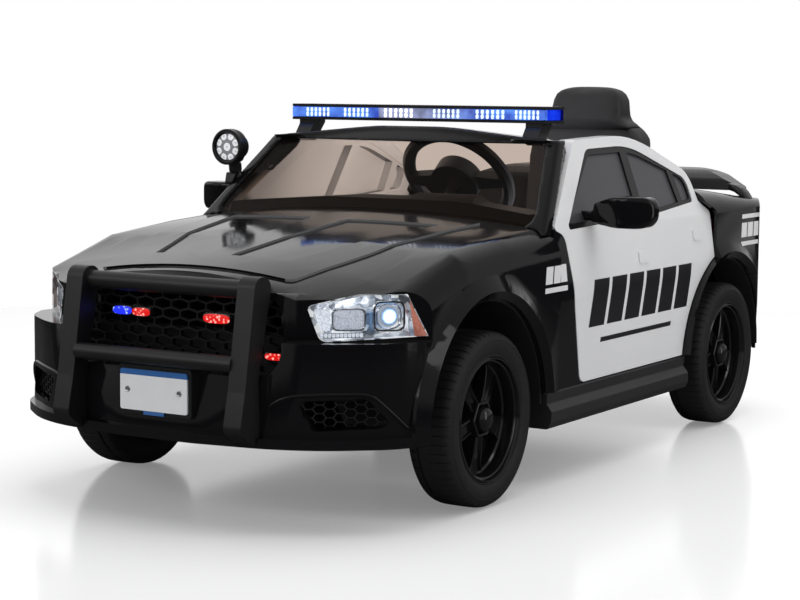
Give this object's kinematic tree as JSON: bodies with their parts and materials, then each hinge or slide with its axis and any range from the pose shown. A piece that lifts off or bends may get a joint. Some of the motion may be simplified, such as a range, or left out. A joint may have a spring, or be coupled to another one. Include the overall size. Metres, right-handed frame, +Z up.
{
  "type": "ride-on toy patrol car",
  "caption": "Battery ride-on car for a child, open cabin and one seat, with light bar, spotlight, push bar, hinged side panels and linked steering.",
  "frame": {"origin": "on the ground at the middle of the overall length and width", "axes": "+Z up, nose towards -Y, the car's left side towards +X"},
  "size_m": [0.782, 1.3599, 0.545],
  "materials": {
    "gloss_black": "high gloss moulded black",
    "gloss_white": "high gloss moulded white",
    "satin_black": "satin moulded black",
    "matte_black": "matte grained black",
    "rim_black": "gloss black wheel",
    "tyre": "matte black tread",
    "tinted_screen": "brown tinted clear plastic",
    "smoked_pane": "smoked grey opaque pane",
    "clear_lens": "clear moulded lens",
    "blue_lens": "blue moulded lens",
    "red_lens": "red moulded lens",
    "steel": "plain steel",
    "gear_grey": "dark grey moulded housing",
    "seat_cover": "black padded leatherette",
    "battery_case": "moulded battery case",
    "plate_white": "white enamel, blue band"
  },
  "bodies": {
    "root": {"battery": "battery_case", "bonnet": "gloss_black", "chassis": "matte_black", "dashboard": "matte_black", "front_axle": "matte_black", "front_bumper": "gloss_black", "front_wing_left": "gloss_black", "front_wing_right": "gloss_black", "gearboxes": "gear_grey", "grille": "matte_black", "headlamps": "clear_lens", "light_bar_base": "satin_black", "light_bar_blue": "blue_lens", "light_bar_clear": "clear_lens", "number_plate": "plate_white", "plate_holder": "matte_black", "push_bar": "matte_black", "rear_axle": "steel", "rear_body": "gloss_black", "rear_bumper": "gloss_black", "seat_back": "seat_cover", "seat_cushion": "seat_cover", "sills": "matte_black", "spoiler": "gloss_black", "spotlight": "satin_black", "tail_lamps": "red_lens", "windscreen_frame": "satin_black", "windscreen_glass": "tinted_screen"},
    "hand_wheel": {"steering_wheel": "matte_black", "steering_column": "steel"},
    "tie_rod": {"tie_rod": "steel"},
    "steer_knuckle_left": {"knuckle_left": "matte_black"},
    "front_wheel_left": {"tyre_front_left": "tyre", "rim_front_left": "rim_black"},
    "rear_wheel_left": {"tyre_rear_left": "tyre", "rim_rear_left": "rim_black"},
    "side_door_left": {"door_left": "gloss_white", "window_frame_left": "satin_black", "door_glass_left": "smoked_pane", "mirror_left": "gloss_black"},
    "steer_knuckle_right": {"knuckle_right": "matte_black"},
    "front_wheel_right": {"tyre_front_right": "tyre", "rim_front_right": "rim_black"},
    "rear_wheel_right": {"tyre_rear_right": "tyre", "rim_rear_right": "rim_black"},
    "side_door_right": {"door_right": "gloss_white", "window_frame_right": "satin_black", "door_glass_right": "smoked_pane", "mirror_right": "gloss_black"}
  },
  "joints": [
    {"name": "steer_left", "type": "hinge", "parent": "root", "child": "steer_knuckle_left", "pos_m": [0.22, -0.345, 0.115], "axis": [0, 0, 1], "range_deg": [-22, 22]},
    {"name": "front_wheel_spin_left", "type": "hinge", "parent": "steer_knuckle_left", "child": "front_wheel_left", "pos_m": [0.277, -0.345, 0.115], "axis": [1, 0, 0], "continuous": true},
    {"name": "rear_wheel_spin_left", "type": "hinge", "parent": "root", "child": "rear_wheel_left", "pos_m": [0.277, 0.458, 0.115], "axis": [1, 0, 0], "continuous": true},
    {"name": "door_swing_left", "type": "hinge", "parent": "root", "child": "side_door_left", "pos_m": [0.304, -0.141, 0.25], "axis": [0, 0, -1], "range_deg": [0, 50]},
    {"name": "steer_right", "type": "hinge", "parent": "root", "child": "steer_knuckle_right", "pos_m": [-0.22, -0.345, 0.115], "axis": [0, 0, 1], "range_deg": [-22, 22]},
    {"name": "front_wheel_spin_right", "type": "hinge", "parent": "steer_knuckle_right", "child": "front_wheel_right", "pos_m": [-0.277, -0.345, 0.115], "axis": [1, 0, 0], "continuous": true},
    {"name": "rear_wheel_spin_right", "type": "hinge", "parent": "root", "child": "rear_wheel_right", "pos_m": [-0.277, 0.458, 0.115], "axis": [1, 0, 0], "continuous": true},
    {"name": "door_swing_right", "type": "hinge", "parent": "root", "child": "side_door_right", "pos_m": [-0.304, -0.141, 0.25], "axis": [0, 0, 1], "range_deg": [0, 50]},
    {"name": "hand_wheel_turn", "type": "hinge", "parent": "root", "child": "hand_wheel", "pos_m": [0.03, 0.05117, 0.406], "axis": [0, 0.788, 0.6157], "range_deg": [-37.5, 37.5]},
    {"name": "tie_rod_slide", "type": "slide", "parent": "root", "child": "tie_rod", "axis": [1, 0, 0], "range_m": [-0.0153, 0.0153]}
  ],
  "couplings": [
    {"joint": "steer_right", "follows": "steer_left", "ratio": 1},
    {"joint": "hand_wheel_turn", "follows": "steer_left", "ratio": 1.6818},
    {"joint": "tie_rod_slide", "follows": "steer_left", "m_per_rad": -0.0395}
  ]
}
